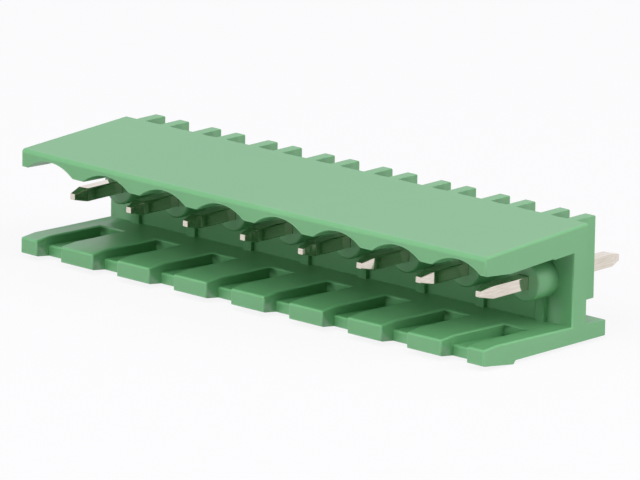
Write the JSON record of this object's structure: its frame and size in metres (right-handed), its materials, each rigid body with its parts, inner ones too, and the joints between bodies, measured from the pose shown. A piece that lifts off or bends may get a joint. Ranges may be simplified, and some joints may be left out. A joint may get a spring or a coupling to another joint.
{
  "type": "terminal block header",
  "caption": "Open-ended straight pin header for pluggable terminal blocks, with an arched top plate, coding slots, stand-off ribs and square solder pins.",
  "frame": {"origin": "middle of the pin row, on the plane where the housing seats on the circuit board", "axes": "+X along the row of poles, +Y from the plug opening to the circuit board along the solder tails, +Z from the coding side up to the arched side"},
  "size_m": [0.0406, 0.0161, 0.008],
  "materials": {
    "housing_plastic": "satin",
    "tin_plate": "satin"
  },
  "bodies": {
    "root": {"housing": "housing_plastic", "pin_1": "tin_plate", "pin_2": "tin_plate", "pin_3": "tin_plate", "pin_4": "tin_plate", "pin_5": "tin_plate", "pin_6": "tin_plate", "pin_7": "tin_plate", "pin_8": "tin_plate"}
  },
  "joints": []
}
